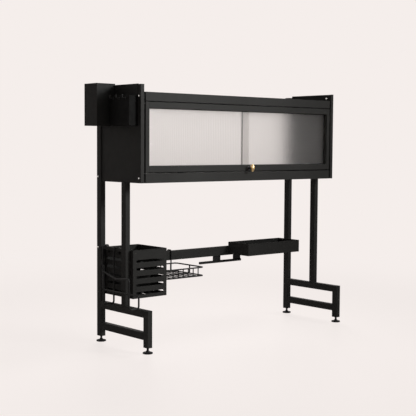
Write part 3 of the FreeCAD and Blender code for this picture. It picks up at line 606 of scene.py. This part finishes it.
def tube_cap(mesh, left, front, top):
    """A lid and a plug for the tube whose corner is at left and front."""
    lid_low, lid_high = at(left, front, top - 2.0), at(left + TUBE_WIDE, front + TUBE_DEEP, top)
    soft_block(mesh, lid_low, lid_high, 0.9, 3)
    plug_low = at(left + WALL, front + WALL, top - 14.0)
    plug_high = at(left + TUBE_WIDE - WALL, front + TUBE_DEEP - WALL, top - 1.6)
    soft_block(mesh, plug_low, plug_high, 0.8, 1)


for name, front, top in (("post_caps", 271.0, 887.0), ("leg_caps", 0.0, 144.0)):
    mesh = bmesh.new()
    for left in (0.0, 930.0):
        tube_cap(mesh, left, front, top)
    finish_piece("moulded_" + name, mesh, moulded_black, "frame", [name])

# %% [markdown]
# ## Welds
# Tube frames are welded where one tube meets another, and the powder covers the weld. A
# bead is a short round section whose radius pulses, because the welder moves in steps.

# %% Lay the weld beads
BEAD_RADIUS = 1.3
BEAD_STEP = 1.4


def weld_bead(mesh, start, end):
    """A rippled bead along the inner corner between two tubes."""
    count = max(4, int((end - start).length / (BEAD_STEP * MM) * 2))
    path = [start.lerp(end, number / count) for number in range(count + 1)]
    radii = [BEAD_RADIUS * (1.0 if number % 2 else 0.8) for number in range(count + 1)]
    radii[0] = radii[-1] = BEAD_RADIUS * 0.4
    run_section(mesh, path, radii, sides=8)


CROSS_RAILS = ((276, 291, 265, 300), (271, 286, 565, 595), (271, 286, 831.8, 861.8))

for side, left in (("left", 0.0), ("right", 930.0)):
    mesh = bmesh.new()
    lines = [(front, height) for front in (25.0, 271.0) for height in (44.5, 69.5, 119.0)]
    lines += [(271.0, 144.0), (125.0, 144.0), (150.0, 144.0)]
    for front, height in lines:
        weld_bead(mesh, at(left + 1.5, front, height), at(left + 18.5, front, height))
    rail_end = 20.0 if side == "left" else 930.0
    for front, back, low, high in CROSS_RAILS:
        for height in (low, high):
            weld_bead(mesh, at(rail_end, front + 1.5, height), at(rail_end, back - 1.5, height))
        weld_bead(mesh, at(rail_end, front, low + 1.5), at(rail_end, front, high - 1.5))
    finish_piece(side + "_frame_welds", mesh, frame_coat, "frame")

# %% [markdown]
# ## Fluted panes
# The door's two panes overlap by a hand's breadth at the middle. Their frosted faces have
# fine upright flutes. Each pane is a thin sheet whose front waves gently, which breaks the
# light into soft upright streaks the way that rolled glass does.

# %% Roll the panes
FLUTE_PITCH = 8.0
FLUTE_DEPTH = 0.3
FLUTE_STEPS = 10


def fluted_pane(name, node):
    """A sheet as large as the node's, with upright waves on its front."""
    low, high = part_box(node)
    count = int((high.x - low.x) / (FLUTE_PITCH * MM)) * FLUTE_STEPS
    mesh = bmesh.new()
    columns = []
    for number in range(count + 1):
        x = low.x + (high.x - low.x) * number / count
        wave = (1 - math.cos(2 * math.pi * number / FLUTE_STEPS)) / 2
        front = low.y + FLUTE_DEPTH * MM * wave
        places = ((front, low.z), (front, high.z), (high.y, high.z), (high.y, low.z))
        columns.append([mesh.verts.new((x, y, z)) for y, z in places])
    for here, there in zip(columns, columns[1:]):
        for corner in range(4):
            following = (corner + 1) % 4
            mesh.faces.new((here[corner], there[corner], there[following], here[following]))
    mesh.faces.new(columns[0])
    mesh.faces.new(list(reversed(columns[-1])))
    return finish_piece(name, mesh, frosted, "door", [node], crease=50.0)


fluted_pane("left_fluted_pane", "left_pane")
fluted_pane("right_fluted_pane", "right_pane")

# %% [markdown]
# ## The seam between the panes
# Where the right pane's edge shows through the left one, the photograph has a thin dark
# line with a pale band beside it. That is a rubber edge and a clear strip next to it. One
# black strip, as in the frame, would look like a bar, so two narrow ones stand for it.

# %% Make the seam
clear_strip = start_finish("clear_strip", (0.98, 0.975, 0.97), 0.3)
clear = clear_strip.node_tree.nodes["Principled BSDF"]
clear.inputs["Transmission Weight"].default_value = 0.94
clear.inputs["IOR"].default_value = 1.3
add_peel(clear_strip, add_noise(clear_strip, 700.0, 1.0), 0.1, 0.0001)

GASKET_WIDE = 1.8
low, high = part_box("seam_strip")
split = low.x + GASKET_WIDE * MM
mesh = bmesh.new()
soft_block(mesh, Vector((low.x, low.y, low.z)), Vector((split, high.y, high.z)), 0.4)
finish_piece("seam_rubber", mesh, pad_rubber, "door", ["seam_strip"])
mesh = bmesh.new()
soft_block(mesh, Vector((split, low.y + 0.6 * MM, low.z)), high, 0.3)
finish_piece("seam_clear_strip", mesh, clear_strip, "door")

# %% [markdown]
# ## The rubber round the window
# Between the door's tubes and the panes runs a thin rubber cord that stops rattling.

# %% Lay the window rubber
WINDOW_LEFT, WINDOW_RIGHT = 41.0, 909.0
WINDOW_LOW, WINDOW_HIGH = 621.5, 814.5
CORD_RADIUS = 0.9
mesh = bmesh.new()
inset = CORD_RADIUS * 0.6
corners = [at(x, 60.0 - CORD_RADIUS, z) for x, z in (
    (WINDOW_LEFT + inset, WINDOW_LOW + inset), (WINDOW_RIGHT - inset, WINDOW_LOW + inset),
    (WINDOW_RIGHT - inset, WINDOW_HIGH - inset), (WINDOW_LEFT + inset, WINDOW_HIGH - inset))]
run_section(mesh, rounded_path(corners, 2.0), CORD_RADIUS, sides=8, closed=True)
finish_piece("window_rubber", mesh, pad_rubber, "door")

# %% [markdown]
# ## The knob
# The knob is an upright brass oval on a dark neck with a small base plate. Both are turned
# forms. The oval's points are then stretched upwards, and the neck stays round.

# %% Turn the knob
NECK_PROFILE = ((0.01, 0.0), (6.2, 0.0), (6.6, 0.5), (6.2, 1.2), (4.6, 1.7), (3.3, 2.6), (2.9, 5.5),
                (2.9, 9.0), (3.4, 12.5), (4.2, 14.0), (0.01, 14.0))
OVAL_HALF_WIDE = 7.6
OVAL_BACK, OVAL_FRONT = 12.6, 28.9
OVAL_STRETCH = 1.8
OVAL_RINGS = 18


def upright_oval(point, number):
    """Stretch a turned form upwards."""
    point.y *= OVAL_STRETCH
    return point


low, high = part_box("knob")
knob_foot = Vector(((low.x + high.x) / 2, high.y, (low.z + high.z) / 2))
toward_front = Vector((0, -1, 0))
mesh = bmesh.new()
turn_profile(mesh, NECK_PROFILE, knob_foot, toward_front, sides=40)
finish_piece("knob_neck", mesh, black_oxide, "door", crease=40.0)
oval = []
for ring in range(OVAL_RINGS + 1):
    angle = math.pi * ring / OVAL_RINGS
    depth = OVAL_BACK + (OVAL_FRONT - OVAL_BACK) * (1 - math.cos(angle)) / 2
    oval.append((max(0.01, OVAL_HALF_WIDE * math.sin(angle) ** 0.8), depth))
mesh = bmesh.new()
turn_profile(mesh, oval, knob_foot, toward_front, sides=48, reshape=upright_oval)
finish_piece("oval_knob", mesh, brass, "door", ["knob"], crease=70.0)

# %% [markdown]
# ## Rolled rims
# The boxes are thin sheet, and a cut edge would be sharp, so the maker rolls it over. The
# roll shows as a soft line of light round each open top.

# %% Roll the rims
ROLL_RADIUS = 1.4


def rolled_rim(name, left, right, front, back, top, body):
    """A roll along the upper edge of a box's four walls."""
    mesh = bmesh.new()
    inset = 0.6
    height = top - ROLL_RADIUS
    corners = [at(x, y, height) for x, y in ((left + inset, front + inset), (right - inset, front + inset),
                                            (right - inset, back - inset), (left + inset, back - inset))]
    run_section(mesh, rounded_path(corners, 2.5), ROLL_RADIUS, sides=12, closed=True)
    return finish_piece(name, mesh, caddy_coat, body)


rolled_rim("cutlery_rim", 21.0, 166.0, 110.0, 275.7, 335.2, "cutlery")
rolled_rim("tray_rim", 603.0, 880.0, 160.0, 275.7, 316.7, "tray")
rolled_rim("utensil_box_rim", -71.5, 3.5, 189.5, 264.5, 898.7, "side_caddy")

# %% [markdown]
# ## The wire basket's joints
# The basket is bent wire, spot welded wherever two wires cross. A spot weld leaves a small
# flattened lump. Soft tips cover the cut ends that go behind the rail, so that they don't
# scratch its paint.

# %% Weld and tip the basket
def lump(mesh, centre, radii):
    """A small ball squashed along each axis, in millimetres."""
    place = Matrix.Translation(centre) @ Matrix.Diagonal((*(Vector(radii) * MM), 1.0))
    bmesh.ops.create_uvsphere(mesh, u_segments=12, v_segments=8, radius=1.0, matrix=place)


def soft_tip(mesh, end, along, radius, length):
    """A sleeve with a round end, pushed over a cut wire."""
    profile = [(0.01, 0.0), (radius, 0.0), (radius * 1.08, 0.3), (radius * 1.08, 0.9), (radius, 1.2),
               (radius, length - radius)]
    for ring in range(1, 6):
        angle = math.pi / 2 * ring / 5
        profile.append((max(0.01, radius * math.cos(angle)), length - radius + radius * math.sin(angle)))
    turn_profile(mesh, profile, end, along, sides=20)


WIRE = 2.5
BASKET_LEFT, BASKET_RIGHT = 170.0 + WIRE, 342.0 - WIRE
BASKET_FRONT, BASKET_REAR = 112.0 + WIRE, 275.7 - WIRE
BASKET_LOW, BASKET_HIGH = 221.0 + WIRE, 256.0 - WIRE
BASKET_BEND = 12.0
CRADLE_PITCH = 18.0 + 2 * WIRE
RAIL_TOP, RAIL_BACK = 300.3, 291.3
HOOK_DROP = 14.0

cradles = int((BASKET_RIGHT - BASKET_LEFT - 2 * BASKET_BEND) / CRADLE_PITCH)
first_cradle = (BASKET_LEFT + BASKET_RIGHT - (cradles - 1) * CRADLE_PITCH) / 2
band_row = (BASKET_FRONT + BASKET_REAR) / 2
mesh = bmesh.new()
for number in range(cradles):
    x = first_cradle + number * CRADLE_PITCH
    for y in (BASKET_FRONT, BASKET_REAR):
        for z in (BASKET_LOW, BASKET_HIGH):
            lump(mesh, at(x, y, z), (3.2, 2.7, 2.7))
    lump(mesh, at(x, band_row, BASKET_LOW), (3.2, 3.2, 2.6))
for x in (BASKET_LEFT, BASKET_RIGHT):
    for z in (BASKET_LOW, BASKET_HIGH):
        lump(mesh, at(x, band_row, z), (2.8, 3.6, 2.8))
hook_places = (BASKET_LEFT + 2 * BASKET_BEND, BASKET_RIGHT - 2 * BASKET_BEND)
for x in hook_places:
    for z in (BASKET_LOW, BASKET_HIGH):
        lump(mesh, at(x, BASKET_REAR, z), (3.6, 2.7, 2.9))
finish_piece("basket_spot_welds", mesh, wire_coat, "basket")

mesh = bmesh.new()
for x in hook_places:
    end = at(x, RAIL_BACK + WIRE, RAIL_TOP + WIRE - HOOK_DROP + 3.0)
    soft_tip(mesh, end, (0, 0, -1), WIRE + 0.2, 9.0)
finish_piece("basket_hook_tips", mesh, pad_rubber, "basket")

# %% [markdown]
# ## Tips and welds of the board holder
# The photograph shows the tall wire's end standing above the bent one, with a rounded tip.
# The two wires meet there in a small weld.

# %% Tip the board holder and the caddy's hooks
BOARD_ROD = 3.0
BOARD_OUTER = -46.3
BOARD_BACK_ROW, BOARD_HOOK_ROW = 188.0, 250.0
BOARD_BASE = 148.0
side_rail_low, side_rail_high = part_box("left_side_rail")
behind = side_rail_high.x / MM + LEFT_FACE + 0.3 + BOARD_ROD
over = side_rail_high.z / MM + 0.3 + BOARD_ROD
mesh = bmesh.new()
soft_tip(mesh, at(BOARD_OUTER, BOARD_BACK_ROW, BOARD_BASE + 122.0), (0, 0, 1), 3.9, 14.0)
for y in (BOARD_BACK_ROW, BOARD_HOOK_ROW):
    soft_tip(mesh, at(behind, y, over - HOOK_DROP - 6.0), (0, 0, -1), 3.25, 8.0)
finish_piece("board_holder_tips", mesh, pad_rubber, "board_holder")

mesh = bmesh.new()
lump(mesh, at(BOARD_OUTER, BOARD_BACK_ROW - 1.5, BOARD_BASE + 113.0), (3.9, 4.4, 4.8))
lump(mesh, at(-4.8, BOARD_BACK_ROW, BOARD_BASE + 42.0), (4.4, 4.2, 4.2))
finish_piece("board_holder_welds", mesh, wire_coat, "board_holder")

HOOK_FACE, HOOK_OUT = -31.5, -44.5
HOOK_ROWS = (82.0, 117.0, 152.0)
HOOK_LOW, HOOK_TOP = 846.0, 855.0
mesh = bmesh.new()
for y in HOOK_ROWS:
    collar = ((0.01, 0.0), (3.9, 0.0), (3.9, 0.5), (3.0, 1.1), (1.7, 1.4), (0.01, 1.4))
    turn_profile(mesh, collar, at(HOOK_FACE, y, HOOK_LOW), (-1, 0, 0), sides=24)
    lump(mesh, at(HOOK_OUT, y, HOOK_TOP + 0.6), (2.5, 2.5, 2.5))
finish_piece("caddy_hook_ends", mesh, wire_coat, "side_caddy")

# %% [markdown]
# ## Guards round the knife slots
# A moulded guard lines each knife slot so that blades don't scrape bare sheet.

# %% Line the knife slots
SLOT_LEFT, SLOT_RIGHT = -27.0, -1.0
SLOT_HALF = 2.5
mesh = bmesh.new()
for y in HOOK_ROWS:
    corners = [at(x, row, 855.0) for x, row in ((SLOT_LEFT, y - SLOT_HALF), (SLOT_RIGHT, y - SLOT_HALF),
                                                (SLOT_RIGHT, y + SLOT_HALF), (SLOT_LEFT, y + SLOT_HALF))]
    run_section(mesh, rounded_path(corners, 1.6), 0.75, sides=8, closed=True)
finish_piece("knife_slot_guards", mesh, moulded_black, "side_caddy")

# %% [markdown]
# ## Ends of the towel bar
# The towel bar is a tube. Domed plugs close its two ends, and small welds hold the tabs.

# %% Plug the towel bar
BAR_ROW, BAR_HEIGHT = 283.5, 242.0
BAR_RADIUS = 5.0
PLUG = ((0.01, -6.0), (4.0, -6.0), (4.2, 0.0), (BAR_RADIUS + 0.3, 0.0), (BAR_RADIUS + 0.3, 0.8), (4.6, 1.8),
        (3.2, 2.5), (1.5, 2.8), (0.01, 2.9))
low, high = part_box("towel_bar")
mesh = bmesh.new()
for x, along in ((low.x / MM + LEFT_FACE, (-1, 0, 0)), (high.x / MM + LEFT_FACE, (1, 0, 0))):
    turn_profile(mesh, PLUG, at(x, BAR_ROW, BAR_HEIGHT), along, sides=28)
finish_piece("towel_bar_plugs", mesh, moulded_black, "frame")

mesh = bmesh.new()
for left, right in ((531.0, 569.0), (636.0, 674.0)):
    for y in (BAR_ROW - 1.3, BAR_ROW + 1.3):
        for z in (BAR_HEIGHT + BAR_RADIUS, 265.0):
            weld_bead(mesh, at(left + 2.0, y, z), at(right - 2.0, y, z))
finish_piece("towel_bar_welds", mesh, wire_coat, "frame")

# %% [markdown]
# ## Hems and a cap nut
# The end panels' upper edges stand above the shelf, where hands reach, so they are hemmed.
# On the right panel's inner face the photograph shows one bright dot near the corner. That
# is the cap nut of a screw.

# %% Hem the panels
HEM_RADIUS = 0.8
PANEL_TOP = 893.0
mesh = bmesh.new()
for x in (5.6, 944.4):
    path = [at(x, y, PANEL_TOP - HEM_RADIUS + 0.1) for y in (46.6, 47.2, 100.0, 200.0, 269.8, 270.4)]
    run_section(mesh, path, [0.4] + [HEM_RADIUS] * 4 + [0.4], sides=12)
finish_piece("panel_hems", mesh, cabinet_coat, "frame")

NUT = ((0.01, 0.0), (4.2, 0.0), (4.2, 1.8), (3.6, 2.2), (3.5, 3.4), (2.9, 4.6), (1.7, 5.4), (0.01, 5.7))
mesh = bmesh.new()
turn_profile(mesh, NUT, at(943.8, 80.2, 877.5), (-1, 0, 0), sides=36)
finish_piece("panel_cap_nut", mesh, zinc, "frame")

# %% [markdown]
# ## Soft edges on folded sheet
# A press brake bends sheet round a small radius, so no edge of a real panel is razor
# sharp. A weld and a bevel modifier give each sheet node that radius and leave its mesh as
# it was.

# %% Soften the sheet nodes
SHEET_NODES = ("left_side_panel", "right_side_panel", "top_shelf", "bottom_shelf", "top_front_rail",
               "bottom_front_rail", "storage_tray", "cutlery_box", "cutlery_divider", "caddy_plate",
               "utensil_box", "knife_holder", "towel_bar_tabs", "hinge_brackets", "magnet_catches",
               "strike_plates", "pane_clips")
SHEET_EDGE = 0.35
for name in SHEET_NODES:
    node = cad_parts[name]
    merge = node.modifiers.new("join_corners", "WELD")
    merge.merge_threshold = 1e-5
    soften = node.modifiers.new("pressed_edges", "BEVEL")
    soften.width = SHEET_EDGE * MM
    soften.segments = 2
    soften.limit_method = "ANGLE"
    soften.angle_limit = math.radians(50.0)
    soften.harden_normals = True
print("softened", len(SHEET_NODES), "nodes")
